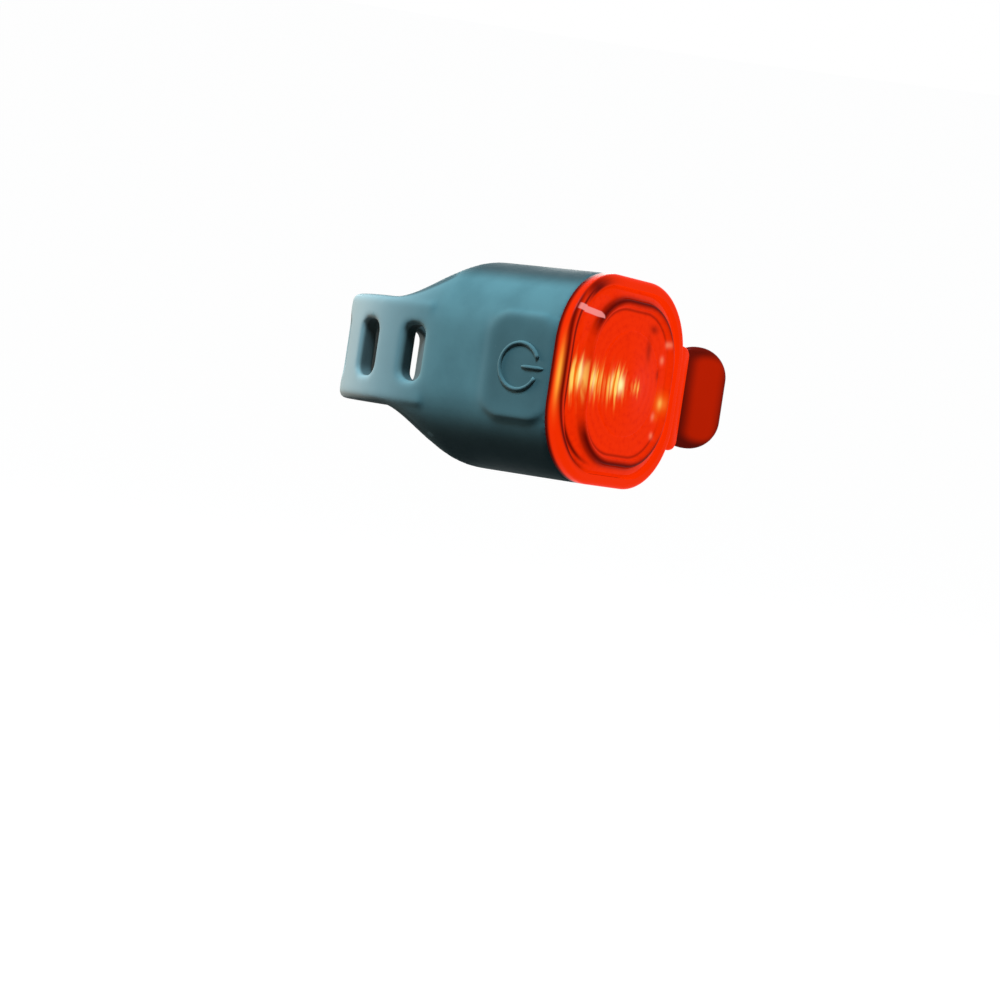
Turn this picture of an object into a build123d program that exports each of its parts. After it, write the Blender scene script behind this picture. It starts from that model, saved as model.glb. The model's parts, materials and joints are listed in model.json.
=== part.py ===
from build123d import *
from math import acos, atan2, cos, degrees, hypot, radians, sin, sqrt
import os

# Rear bike light with a rubber sleeve that straps round a seatpost.
# +Z runs up along the post's axis. The lens faces -Y. The origin is on the post's axis, level with the
# middle of the light. A depth is a distance from the post's axis towards the lens, so it is -Y.
# All sizes are in millimetres.

# Post and rubber strap
post_radius = 13.6
strap_thickness = 3.2
strap_height = 17.2
strap_edge_radius = 1.2
strap_root_length = 8.0
strap_end_bar = 2.9
strap_end_corner = 5.0
slot_width = 4.0
slot_height = 9.0
slot_corner = 1.6
slot_lip = 0.5
slot_count = 10
slot_pitch = 9.05
slot_reach = 6.0
near_slot_count = 2
strap_gap = 0.5

# Rubber sleeve round the lamp
body_corner = 12.0
sleeve_wall = 2.0
saddle_wall = 1.8
flare_length = 11.5
flare_steps = 4
cheek_depth = 5.0
cheek_reach = 17.0
strap_bend_radius = 12.0

# Clearances
case_clearance = 0.1
seat_clearance = 0.05
running_clearance = 0.3

# Red front case: rim, skirt and strap hook
rim_length = 2.4
rim_edge_radius = 0.9
skirt_wall = 1.4
lens_ledge = 0.6
neck_thickness = 2.4
neck_height = 7.6
neck_corner = 0.8
neck_setback = 3.6
hook_lean = 36.0
hook_head_length = 10.4
hook_head_height = 16.8
hook_head_thickness = 2.4
hook_corner = 5.0
hook_edge_radius = 0.8

# Lens
lens_border = 1.7
lens_edge_radius = 0.8
lens_skin = 2.0
lens_plug = 1.3
lens_dome_radius = 120.0
lens_rise = 1.3
ridge_width = 24.4
ridge_height = 26.0
ridge_corner = 9.6
ridge_thickness = 1.3
ridge_rise = 0.7
optic_ring_count = 6
optic_ring_pitch = 1.4
optic_groove_width = 0.7
optic_groove_depth = 0.35
optic_overcut = 0.1
seal_thickness = 0.8

# Battery cap with its bayonet lugs
seal_shoulder = 1.7
groove_wall = 1.2
cap_thickness = 1.3
lug_reach = 0.9
lug_thickness = 0.7
lug_angle = 26.0
lug_count = 3
lug_play = 0.1
notch_margin = 4.0
cap_turn = 45.0
coin_slot_length = 13.0
coin_slot_width = 1.8
coin_slot_cut = 0.6
cap_seal_section = 0.4
cap_seal_groove = 0.5
contact_thickness = 0.2
contact_radius = 6.0
spring_gap = 0.35

# Coin cells
cell_radius = 10.0
cell_thickness = 3.2
cell_edge = 0.4
cell_pole_radius = 8.6
cell_pole_step = 0.25
leaf_gap = 0.6
spring_inner_radius = 3.0
spring_outer_radius = 6.0
spring_thickness = 0.2

# Circuit board and what it carries
board_thickness = 1.0
board_clearance = 0.3
switch_edge = 0.3
switch_depth = 3.4
switch_width = 4.6
switch_height = 2.4
switch_edge_gap = 0.5
stem_radius = 0.8
stem_reach = 0.8
stem_length = 2.2
button_travel = 0.5
led_side = 3.4
led_base = 0.6
led_dome_radius = 1.4
chip_side = 4.4
chip_width = 3.6
chip_height = 1.0
lead_count = 4
lead_width = 0.4
lead_reach = 0.7
lead_height = 0.2
resistor_length = 1.6
resistor_width = 0.8
resistor_height = 0.5
resistor_count = 4
resistor_pitch = 1.8
edge_part_margin = 2.7
screw_margin = 4.5
screw_radius = 0.8
screw_head_radius = 1.4
screw_head_height = 0.8
screw_length = 4.5

# Power button
pad_radius = 4.7
pad_margin = 1.3
pad_thickness = 1.2
pad_proud = 0.2
pad_boss_radius = 1.5
pad_boss_overhang = 0.4
plunger_radius = 1.6

# Reflector bowl
bowl_margin = 0.8
bowl_floor_radius = 2.6
bowl_wall = 0.8
bowl_flange = 0.6
bowl_floor_gap = 0.25
bowl_points = 6

# Depths of what is stacked from the post to the lens
cavity_depth = post_radius + saddle_wall
cap_back = cavity_depth + seat_clearance
cap_front = cap_back + cap_thickness
cell_back = cap_front + spring_gap
cell_front = cell_back + 2 * cell_thickness
board_back = cell_front + leaf_gap
board_front = board_back + board_thickness
button_depth = board_front + switch_height / 2
rim_depth = button_depth + pad_radius + pad_margin
rim_front = rim_depth + rim_length
lens_seat = rim_depth + lens_ledge
lens_face_back = lens_seat + seal_thickness
lens_back = lens_seat - lens_plug
lens_top = rim_front + lens_rise

# Bore, cap and groove for the cells, which the light's height follows
cell_bore_radius = cell_radius + running_clearance
cap_radius = cell_bore_radius + seal_shoulder
cap_seal_radius = (cap_radius + cell_bore_radius) / 2
groove_radius = cap_radius + lug_reach + running_clearance
body_height = 2 * (groove_radius + groove_wall + case_clearance + sleeve_wall)

# Widths across the light, whose sides run on from the strap's
body_width = 2 * (post_radius + strap_thickness)
case_width = body_width - 2 * sleeve_wall - 2 * case_clearance
case_height = body_height - 2 * sleeve_wall - 2 * case_clearance
case_corner = body_corner - sleeve_wall - case_clearance
bay_width = case_width - 2 * skirt_wall
bay_height = case_height - 2 * skirt_wall
bay_corner = case_corner - skirt_wall
bowl_mouth_radius = min(bay_width, bay_height) / 2 - bowl_wall - bowl_margin
edge_part_offset = bay_height / 2 - edge_part_margin
screw_offset_x = bay_width / 2 - screw_margin
screw_offset_z = bay_height / 2 - screw_margin
lens_width = body_width - 2 * lens_border - 2 * case_clearance
lens_height = body_height - 2 * lens_border - 2 * case_clearance
lens_corner = body_corner - lens_border - case_clearance
near_side = -body_width / 2
far_side = body_width / 2


def across(depth):
    """A plane across the light at this depth, facing the lens."""
    return Plane.XZ.offset(depth)


def rounded_block(width, height, corner, start, end, mode=Mode.ADD):
    """A block across the light with rounded corners, from one depth to another."""
    with BuildSketch(across(start)) as outline:
        RectangleRounded(width, height, corner)
    extrude(outline.sketch, amount=end - start, mode=mode)


def disc(radius, start, end, mode=Mode.ADD):
    """A round disc on the lamp's axis, from one depth to another."""
    with BuildSketch(across(start)) as outline:
        Circle(radius)
    extrude(outline.sketch, amount=end - start, mode=mode)


def beside(side, depth):
    """A plane square to X at this X and depth, facing the hook side."""
    return Plane((side, -depth, 0), x_dir=(0, 1, 0), z_dir=(1, 0, 0))


def side_pin(radius, outer, inner, mode=Mode.ADD):
    """A round pin along X at the button, from its outer face to its inner one."""
    with BuildSketch(beside(outer, button_depth)) as outline:
        Circle(radius)
    extrude(outline.sketch, amount=inner - outer, mode=mode)


def keep(builder, name):
    """Label the finished piece and write it out."""
    builder.part.label = name
    export_step(builder.part, f"parts/{name}.step")


os.makedirs("parts", exist_ok=True)

# Strap's middle line in plan: up the near side, round the post, then straight past the sleeve's far side
strap_radius = post_radius + strap_thickness / 2
strap_far_line = far_side + strap_gap + strap_thickness / 2
bend_distance = hypot(strap_far_line, cheek_reach)
tangent_angle = degrees(atan2(-cheek_reach, strap_far_line) + acos(strap_radius / bend_distance))
neck_depth = rim_depth - neck_setback
hook_slot_depth = neck_depth + running_clearance + neck_thickness / 2 - slot_width / 2
strap_end_depth = hook_slot_depth + slot_width / 2 + strap_end_bar
strap_outer_face = strap_far_line + strap_thickness / 2

with BuildLine() as strap_route:
    root = Line((-strap_radius, -strap_root_length), (-strap_radius, 0))
    wrap = CenterArc((0, 0), strap_radius, 180, tangent_angle - 180)
    run = Line(wrap @ 1, (strap_far_line, -cheek_reach))
    tail = Line(run @ 1, (strap_far_line, -strap_end_depth))
    fillet(strap_route.vertices().sort_by_distance(run @ 1)[0], strap_bend_radius)
route = strap_route.wires()[0]
hook_station = route.length - strap_end_bar - slot_width / 2


def strap_plane(station):
    """A plane on the strap's middle line at this length along it, with its normal across the strap."""
    along = route.tangent_at(station, position_mode=PositionMode.LENGTH)
    point = route.position_at(station, position_mode=PositionMode.LENGTH)
    return Plane(point, x_dir=along, z_dir=along.cross(Vector(0, 0, 1)))


def cut_slot(count):
    """The strap slot that is this many slots back from the hook, with a lip on its outer side."""
    plane = strap_plane(hook_station - count * slot_pitch)
    outward = 1 if plane.z_dir.dot(plane.origin) > 0 else -1
    with BuildSketch(plane) as opening:
        RectangleRounded(slot_width, slot_height, slot_corner)
    extrude(opening.sketch, amount=slot_reach, both=True, mode=Mode.SUBTRACT)
    with BuildSketch(plane.offset(outward * strap_thickness / 2)) as lip:
        RectangleRounded(slot_width + 2 * slot_lip, slot_height + 2 * slot_lip, slot_corner + slot_lip)
    extrude(lip.sketch, amount=-outward * slot_lip, taper=45, mode=Mode.SUBTRACT)


def is_outside(edge):
    """True for an edge on the strap's outer side, away from the post."""
    middle = edge @ 0.5
    inside = route.closest_points(middle)[0]
    return hypot(middle.X, middle.Y) > hypot(inside.X, inside.Y)


# Strap with its ladder of slots
with BuildPart() as strap:
    with BuildSketch(Plane.XY.offset(-strap_height / 2)):
        add(route)
        trace(line_width=strap_thickness)
    extrude(amount=strap_height)
    fillet(strap.edges().filter_by(Axis.X).group_by(Axis.Y)[0], strap_end_corner)
    rims = strap.faces().filter_by(Axis.Z).edges().filter_by(is_outside)
    fillet(rims, strap_edge_radius)
    for count in range(slot_count):
        cut_slot(count)

# Far cheek of the saddle stops short of the strap that runs past it
cheek_line = [
    (wrap @ 1) - Vector(strap_thickness / 2 + strap_gap, 0),
    (run @ 1) - Vector(strap_thickness / 2 + strap_gap, 0),
]

# Rubber sleeve, saddle and strap, one moulding
with BuildPart() as silicone_sleeve:
    for step in range(flare_steps + 1):
        way = step / flare_steps
        rise = way * way * (3 - 2 * way)
        with BuildSketch(across(way * flare_length)):
            RectangleRounded(
                body_width,
                strap_height + (body_height - strap_height) * rise,
                strap_edge_radius + (body_corner - strap_edge_radius) * rise,
            )
    loft()
    rounded_block(body_width, body_height, body_corner, flare_length, rim_depth)
    with BuildSketch(Plane.XY.offset(-body_height)):
        Polygon(
            (cheek_line[0].X, cheek_line[0].Y),
            (cheek_line[1].X, cheek_line[1].Y),
            (body_width, cheek_line[1].Y),
            (body_width, -cheek_depth + body_width),
            (0, -cheek_depth + body_width),
            (0, -cheek_depth),
            align=None,
        )
    extrude(amount=2 * body_height, mode=Mode.SUBTRACT)
    with BuildSketch(Plane.XY.offset(-body_height)):
        Circle(post_radius)
    extrude(amount=2 * body_height, mode=Mode.SUBTRACT)
    rounded_block(
        case_width + 2 * case_clearance,
        case_height + 2 * case_clearance,
        case_corner + case_clearance,
        cavity_depth,
        rim_depth,
        mode=Mode.SUBTRACT,
    )
    side_pin(pad_radius + running_clearance, near_side - sleeve_wall, near_side + sleeve_wall, Mode.SUBTRACT)
    with BuildSketch(beside(far_side - 2 * sleeve_wall, neck_depth)):
        RectangleRounded(
            neck_thickness + 2 * running_clearance,
            neck_height + 2 * running_clearance,
            neck_corner + running_clearance,
        )
    extrude(amount=3 * sleeve_wall, mode=Mode.SUBTRACT)
    add(strap.part)
    for count in range(slot_count - near_slot_count, slot_count):
        cut_slot(count)
keep(silicone_sleeve, "silicone_sleeve")

# Red front case: skirt inside the sleeve, rim outside it, and the strap hook on its far side
hook_along = Vector(sin(radians(hook_lean)), -cos(radians(hook_lean)), 0)
hook_across = Vector(cos(radians(hook_lean)), sin(radians(hook_lean)), 0)
hook_root_x = (
    strap_outer_face
    + running_clearance
    + hook_head_thickness / 2 * (sin(radians(hook_lean)) + cos(radians(hook_lean)))
)
hook_root = Vector(hook_root_x, -neck_depth, 0)
hook_middle = hook_root + hook_along * (hook_head_length - hook_head_thickness) / 2

with BuildPart() as hook_head:
    with BuildSketch(Plane(hook_middle, x_dir=hook_along, z_dir=hook_across)):
        RectangleRounded(hook_head_length, hook_head_height, hook_corner)
    extrude(amount=hook_head_thickness / 2, both=True)
    fillet(hook_head.edges(), hook_edge_radius)

with BuildPart() as front_case:
    rounded_block(case_width, case_height, case_corner, board_back, rim_depth)
    rounded_block(body_width, body_height, body_corner, rim_depth, rim_front)
    fillet(front_case.faces().sort_by(Axis.Y)[0].edges(), rim_edge_radius)
    rounded_block(bay_width, bay_height, bay_corner, board_back, lens_seat, Mode.SUBTRACT)
    rounded_block(
        lens_width + 2 * case_clearance,
        lens_height + 2 * case_clearance,
        lens_corner + case_clearance,
        lens_seat,
        rim_front,
        Mode.SUBTRACT,
    )
    side_pin(plunger_radius + running_clearance, near_side, -bay_width / 2 + skirt_wall, Mode.SUBTRACT)
    with BuildSketch(beside(bay_width / 2 + skirt_wall / 2, neck_depth)):
        RectangleRounded(neck_thickness, neck_height, neck_corner)
    extrude(amount=hook_root_x - bay_width / 2 - skirt_wall / 2)
    add(hook_head.part)
keep(front_case, "front_case_with_hook")

# Lens: domed face, raised ridge, round optic grooves, and a plug that locates it in the case
def lens_dome(top):
    """Trim what is built so far to the lens's domed face, with this depth at its middle."""
    with Locations((0, lens_dome_radius - top, 0)):
        Sphere(lens_dome_radius, mode=Mode.INTERSECT)


ridge_top = lens_top + ridge_rise
pocket_width = ridge_width - 2 * ridge_thickness
pocket_height = ridge_height - 2 * ridge_thickness
pocket_corner = ridge_corner - ridge_thickness

with BuildPart() as lens_ridge:
    rounded_block(ridge_width, ridge_height, ridge_corner, lens_face_back, ridge_top)
    rounded_block(pocket_width, pocket_height, pocket_corner, lens_face_back, ridge_top, Mode.SUBTRACT)
    lens_dome(ridge_top)

with BuildPart() as lens:
    rounded_block(lens_width, lens_height, lens_corner, lens_face_back, lens_top)
    lens_dome(lens_top)
    fillet(lens.faces().sort_by(Axis.Y)[0].edges(), lens_edge_radius)
    add(lens_ridge.part)
    rounded_block(
        bay_width - 2 * case_clearance,
        bay_height - 2 * case_clearance,
        bay_corner - case_clearance,
        lens_back,
        lens_face_back,
    )
    rounded_block(pocket_width, pocket_height, pocket_corner, lens_back, lens_top - lens_skin, Mode.SUBTRACT)
    with BuildSketch(Plane.XY):
        for ring in range(1, optic_ring_count + 1):
            radius = ring * optic_ring_pitch
            face = lens_top - lens_dome_radius + sqrt(lens_dome_radius**2 - radius**2)
            Polygon(
                (radius - optic_groove_width / 2, -face - optic_overcut),
                (radius + optic_groove_width / 2, -face - optic_overcut),
                (radius, -face + optic_groove_depth),
                align=None,
            )
    revolve(axis=Axis.Y, mode=Mode.SUBTRACT)
keep(lens, "lens")

# Seal between the lens and the case
with BuildPart() as lens_seal:
    rounded_block(lens_width, lens_height, lens_corner, lens_seat, lens_face_back)
    rounded_block(bay_width, bay_height, bay_corner, lens_seat, lens_face_back, Mode.SUBTRACT)
keep(lens_seal, "lens_seal")

# Reflector bowl on the board, with a flange behind the lens
flange_front = lens_back - seat_clearance
bowl_floor = board_front + bowl_floor_gap
bowl_gain = (bowl_mouth_radius**2 - bowl_floor_radius**2) / (flange_front - bowl_floor)


def bowl_curve(extra):
    """Points up the bowl's wall, moved out by this much."""
    points = []
    for step in range(bowl_points + 1):
        height = (flange_front - bowl_floor) * step / bowl_points
        radius = sqrt(bowl_floor_radius**2 + bowl_gain * height) + extra
        points.append((radius, -bowl_floor - height))
    return points


with BuildPart() as reflector:
    rounded_block(
        bay_width - 2 * case_clearance,
        bay_height - 2 * case_clearance,
        bay_corner - case_clearance,
        flange_front - bowl_flange,
        flange_front,
    )
    disc(bowl_mouth_radius, flange_front - bowl_flange, flange_front, Mode.SUBTRACT)
    with BuildSketch(Plane.XY):
        with BuildLine():
            inside = Spline(*bowl_curve(0))
            outside = Spline(*bowl_curve(bowl_wall))
            Line(inside @ 0, outside @ 0)
            Line(inside @ 1, outside @ 1)
        make_face()
    revolve(axis=Axis.Y)
keep(reflector, "reflector")

# Battery case with the cell bore, the cap's recess and its bayonet groove
lip_front = cap_front - lug_thickness - lug_play
shoulder = cap_front + lug_play


def sectors(radius, angle, turn, start, end, mode=Mode.ADD):
    """One sector for each bayonet lug, turned about the lamp's axis."""
    with BuildSketch(across(start)) as lugs:
        with PolarLocations(0, lug_count, start_angle=turn):
            with BuildLine():
                Line((0, 0), (radius, 0))
                CenterArc((0, 0), radius, 0, angle)
                Line((radius * cos(radians(angle)), radius * sin(radians(angle))), (0, 0))
            make_face()
    extrude(lugs.sketch, amount=end - start, mode=mode)


screw_places = [(screw_offset_x, screw_offset_z), (-screw_offset_x, -screw_offset_z)]

with BuildPart() as battery_case:
    rounded_block(case_width, case_height, case_corner, cap_back, board_back)
    disc(cap_radius + running_clearance, cap_back, shoulder, Mode.SUBTRACT)
    disc(groove_radius, lip_front, shoulder, Mode.SUBTRACT)
    sectors(groove_radius, lug_angle + notch_margin, cap_turn, cap_back, shoulder, Mode.SUBTRACT)
    disc(cell_bore_radius, shoulder, board_back, Mode.SUBTRACT)
    with BuildSketch(across(board_back - screw_length)):
        with Locations(*screw_places):
            Circle(screw_radius)
    extrude(amount=screw_length, mode=Mode.SUBTRACT)
keep(battery_case, "battery_case")

# Battery cap, opened with a coin
with BuildPart() as battery_cap:
    disc(cap_radius, cap_back, cap_front)
    sectors(cap_radius + lug_reach, lug_angle, 0, cap_front - lug_thickness, cap_front)
    with BuildSketch(across(cap_back)):
        SlotOverall(coin_slot_length, coin_slot_width)
    extrude(amount=coin_slot_cut, mode=Mode.SUBTRACT)
    with BuildSketch(across(cap_front - 2 * cap_seal_section)):
        Circle(cap_seal_radius + cap_seal_groove)
        Circle(cap_seal_radius - cap_seal_groove, mode=Mode.SUBTRACT)
    extrude(amount=2 * cap_seal_section, mode=Mode.SUBTRACT)
keep(battery_cap, "battery_cap")

# Seal ring in the cap's groove, against the case's shoulder
seal_middle = shoulder - seat_clearance - cap_seal_section
with BuildPart() as cap_seal:
    with BuildSketch(Plane.XY):
        with Locations((cap_seal_radius, -seal_middle)):
            Circle(cap_seal_section)
    revolve(axis=Axis.Y)
keep(cap_seal, "cap_seal")

# Contact plate on the cap
with BuildPart() as cap_contact:
    disc(contact_radius, cap_front, cap_front + contact_thickness)
keep(cap_contact, "cap_contact")


def coin_cell(start):
    """A coin cell with its rounded can towards the post and its smaller pole towards the lens."""
    with BuildPart() as cell:
        disc(cell_radius, start, start + cell_thickness - cell_pole_step)
        fillet(cell.edges().sort_by(Axis.Y)[-1], cell_edge)
        disc(cell_pole_radius, start + cell_thickness - cell_pole_step, start + cell_thickness)
    return cell


coin_cell_rear = coin_cell(cell_back)
keep(coin_cell_rear, "coin_cell_rear")
coin_cell_front = coin_cell(cell_back + cell_thickness)
keep(coin_cell_front, "coin_cell_front")

# Dished spring contact between the front cell and the board
with BuildPart() as contact_spring:
    with BuildSketch(Plane.XY):
        Polygon(
            (0, -board_back),
            (spring_inner_radius, -board_back),
            (spring_outer_radius, -cell_front - seat_clearance - spring_thickness),
            (spring_outer_radius, -cell_front - seat_clearance),
            (spring_inner_radius, -board_back + spring_thickness),
            (0, -board_back + spring_thickness),
            align=None,
        )
    revolve(axis=Axis.Y)
keep(contact_spring, "contact_spring")

# Circuit board and its screws
with BuildPart() as circuit_board:
    rounded_block(
        bay_width - 2 * board_clearance,
        bay_height - 2 * board_clearance,
        bay_corner - board_clearance,
        board_back,
        board_front,
    )
    with BuildSketch(across(board_back)):
        with Locations(*screw_places):
            Circle(screw_radius + case_clearance)
    extrude(amount=board_thickness, mode=Mode.SUBTRACT)
keep(circuit_board, "circuit_board")

with BuildPart() as board_screws:
    with BuildSketch(across(board_front)):
        with Locations(*screw_places):
            Circle(screw_head_radius)
    extrude(amount=screw_head_height)
    with BuildSketch(across(board_front)):
        with Locations(*screw_places):
            Circle(screw_radius - seat_clearance)
    extrude(amount=board_thickness - screw_length)
keep(board_screws, "board_screws")

# Main light source: square base and round dome
with BuildPart() as main_led:
    with BuildSketch(across(board_front)):
        Rectangle(led_side, led_side)
    extrude(amount=led_base)
    with Locations((0, -board_front - led_base / 2, 0)):
        Sphere(led_dome_radius)
    split(bisect_by=across(board_front), keep=Keep.TOP)
keep(main_led, "main_led")

# Driver chip with its leads, below the bowl, and a row of resistors above it
with BuildPart() as driver_chip:
    with BuildSketch(across(board_front)):
        with Locations((0, -edge_part_offset)):
            Rectangle(chip_side, chip_width)
    extrude(amount=chip_height)
    with BuildSketch(across(board_front)):
        with Locations((0, -edge_part_offset)):
            with GridLocations(0, chip_width / lead_count, 1, lead_count):
                Rectangle(chip_side + 2 * lead_reach, lead_width)
    extrude(amount=lead_height)
keep(driver_chip, "driver_chip")

with BuildPart() as chip_resistors:
    with BuildSketch(across(board_front)):
        with Locations((0, edge_part_offset)):
            with GridLocations(resistor_pitch, 0, resistor_count, 1):
                Rectangle(resistor_width, resistor_length)
    extrude(amount=resistor_height)
keep(chip_resistors, "chip_resistors")

# Side-acting switch on the near edge of the board
switch_outer = -bay_width / 2 + switch_edge_gap
stem_tip = switch_outer - stem_reach
with BuildPart() as tact_switch:
    with BuildSketch(across(board_front)):
        with Locations((switch_outer + switch_depth / 2, 0)):
            Rectangle(switch_depth, switch_width)
    extrude(amount=switch_height)
    chamfer(tact_switch.faces().sort_by(Axis.Y)[0].edges(), switch_edge)
    side_pin(
        stem_radius + seat_clearance,
        switch_outer,
        stem_tip + stem_length + button_travel + seat_clearance,
        Mode.SUBTRACT,
    )
keep(tact_switch, "tact_switch")

with BuildPart() as switch_stem:
    side_pin(stem_radius, stem_tip, stem_tip + stem_length)
keep(switch_stem, "switch_stem")

# Power button: rubber pad in the sleeve's wall and the plunger behind it
pad_outer = near_side - pad_proud
pad_inner = pad_outer + pad_thickness
plunger_outer = -case_width / 2 - pad_boss_overhang
with BuildPart() as power_button_pad:
    side_pin(pad_radius, pad_outer, pad_inner)
    side_pin(pad_boss_radius, pad_inner, plunger_outer)
keep(power_button_pad, "power_button_pad")

with BuildPart() as button_plunger:
    side_pin(plunger_radius, plunger_outer, stem_tip - seat_clearance)
keep(button_plunger, "button_plunger")
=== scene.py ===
import json
from math import cos, radians, sin, tau

import bmesh
import bpy
from mathutils import Matrix, Vector


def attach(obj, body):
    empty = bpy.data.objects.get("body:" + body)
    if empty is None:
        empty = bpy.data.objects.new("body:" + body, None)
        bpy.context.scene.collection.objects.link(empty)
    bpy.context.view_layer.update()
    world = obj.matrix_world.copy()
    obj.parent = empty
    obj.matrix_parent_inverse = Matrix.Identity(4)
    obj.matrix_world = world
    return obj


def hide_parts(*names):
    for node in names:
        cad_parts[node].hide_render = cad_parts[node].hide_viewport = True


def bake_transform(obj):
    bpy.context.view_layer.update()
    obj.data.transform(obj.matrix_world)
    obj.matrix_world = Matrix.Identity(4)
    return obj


# Rear bike light: a rubber sleeve with its strap, a red case and lens with the light on, and what is inside.
# The lens faces -Y, and the power button is on the -X side.
# +Z runs up along the axis that the strap goes round.
mm = 0.001

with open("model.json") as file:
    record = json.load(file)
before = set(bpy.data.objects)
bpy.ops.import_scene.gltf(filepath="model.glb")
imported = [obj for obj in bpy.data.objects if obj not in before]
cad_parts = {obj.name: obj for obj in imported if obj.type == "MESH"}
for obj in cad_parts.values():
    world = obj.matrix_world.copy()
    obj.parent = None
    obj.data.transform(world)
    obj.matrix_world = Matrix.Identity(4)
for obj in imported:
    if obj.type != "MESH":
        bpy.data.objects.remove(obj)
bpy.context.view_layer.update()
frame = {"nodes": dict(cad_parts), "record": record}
print("stage: frame loaded")


# Meshes

def finishPiece(bm, name):
    mesh = bpy.data.meshes.new(name)
    bm.to_mesh(mesh)
    bm.free()
    mesh.shade_smooth()
    piece = bpy.data.objects.new(name, mesh)
    bpy.context.scene.collection.objects.link(piece)
    return piece


def roundedLoop(bm, width, height, corner, depth, segments):  # closed edge loop across the lamp's axis
    verts = bmesh.ops.create_grid(bm, x_segments=1, y_segments=1, size=0.5)["verts"]
    bmesh.ops.scale(bm, vec=(width, height, 1), verts=verts)
    bmesh.ops.rotate(bm, cent=(0, 0, 0), matrix=Matrix.Rotation(radians(90), 3, "X"), verts=verts)
    bmesh.ops.translate(bm, vec=(0, -depth, 0), verts=verts)
    rounded = bmesh.ops.bevel(
        bm, geom=verts, offset=corner, offset_type="OFFSET", affect="VERTICES",
        segments=segments, profile=0.5, material=-1,
    )
    face = rounded["verts"][0].link_faces[0]
    edges = list(face.edges)
    bmesh.ops.delete(bm, geom=[face], context="FACES_ONLY")
    return edges


def steppedFace(rings, segments):  # closed skin over rounded outlines (width, height, corner, depth)
    bm = bmesh.new()
    loops = []
    for width, height, corner, depth in rings:
        loops.append(roundedLoop(bm, width * mm, height * mm, corner * mm, depth * mm, segments))
    for outer, inner in zip(loops, loops[1:]):
        bmesh.ops.bridge_loops(bm, edges=outer + inner)
    bmesh.ops.contextual_create(bm, geom=loops[0])
    lastFace = bmesh.ops.contextual_create(bm, geom=loops[-1])["faces"]
    bmesh.ops.recalc_face_normals(bm, faces=bm.faces)
    return bm, lastFace


# Shader nodes

def feed(tree, socket, value):  # a plain value is set on the socket, and anything else is linked to it
    if isinstance(value, (int, float, tuple)):
        socket.default_value = value
    else:
        tree.links.new(value, socket)


def mathNode(tree, operation, *values, clamp=False):
    node = tree.nodes.new("ShaderNodeMath")
    node.operation = operation
    node.use_clamp = clamp
    for socket, value in zip(node.inputs, values):
        feed(tree, socket, value)
    return node.outputs[0]


def vectorNode(tree, operation, *values):
    node = tree.nodes.new("ShaderNodeVectorMath")
    node.operation = operation
    for socket, value in zip(node.inputs, values):
        feed(tree, socket, value)
    return node.outputs["Value" if operation == "LENGTH" else "Vector"]


def mapRange(tree, value, fromMin, fromMax, toMin=0.0, toMax=1.0):
    node = tree.nodes.new("ShaderNodeMapRange")
    node.interpolation_type = "SMOOTHSTEP"
    for name, number in (("Value", value), ("From Min", fromMin), ("From Max", fromMax),
                         ("To Min", toMin), ("To Max", toMax)):
        feed(tree, node.inputs[name], number)
    return node.outputs["Result"]


def mixColor(tree, factor, first, second):
    node = tree.nodes.new("ShaderNodeMix")
    node.data_type = "RGBA"
    for socket, value in zip((node.inputs[0], node.inputs[6], node.inputs[7]), (factor, first, second)):
        feed(tree, socket, value)
    return node.outputs[2]


def noiseNode(tree, vector, scale, detail, roughness=0.5):
    node = tree.nodes.new("ShaderNodeTexNoise")
    for name, value in (("Vector", vector), ("Scale", scale), ("Detail", detail), ("Roughness", roughness)):
        feed(tree, node.inputs[name], value)
    return node.outputs["Fac"]


def product(tree, first, *others):
    for other in others:
        first = mathNode(tree, "MULTIPLY", first, other)
    return first


def strongest(tree, first, *others):
    for other in others:
        first = mathNode(tree, "MAXIMUM", first, other)
    return first


def gauss(tree, value, centre, width):  # soft bump of this half width round a place
    away = mathNode(tree, "DIVIDE", mathNode(tree, "SUBTRACT", value, centre), width)
    return mathNode(tree, "EXPONENT", product(tree, away, away, -1.0))


def within(tree, value, centre, half, soft):  # one near the centre, nought past the half width
    away = mathNode(tree, "ABSOLUTE", mathNode(tree, "SUBTRACT", value, centre))
    return mapRange(tree, away, half + soft, half - soft)


def flatDistance(tree, first, second):  # length of the two sides' diagonal
    squares = mathNode(tree, "ADD", product(tree, first, first), product(tree, second, second))
    return mathNode(tree, "SQRT", squares)


def seenRays(tree):  # one for what the camera sees, also in gloss and through glass
    rays = tree.nodes.new("ShaderNodeLightPath")
    return strongest(tree, rays.outputs["Is Camera Ray"], rays.outputs["Is Glossy Ray"],
                     rays.outputs["Is Transmission Ray"])


# Shader node groups

def newGroup(name, inputs, outputs):
    group = bpy.data.node_groups.new(name, "ShaderNodeTree")
    for socketName, kind, value in inputs:
        socket = group.interface.new_socket(socketName, in_out="INPUT", socket_type=kind)
        socket.default_value = value
    for socketName in outputs:
        group.interface.new_socket(socketName, in_out="OUTPUT", socket_type="NodeSocketFloat")
    return group, group.nodes.new("NodeGroupInput"), group.nodes.new("NodeGroupOutput")


def placeGroup(tree, group, **values):
    node = tree.nodes.new("ShaderNodeGroup")
    node.node_tree = group
    for name, value in values.items():
        feed(tree, node.inputs[name.replace("_", " ")], value)
    return node.outputs


speckLook = {"scale": 6.0, "distance": (0.12, 0.05), "cover": (0.5, 0.7)}


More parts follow.
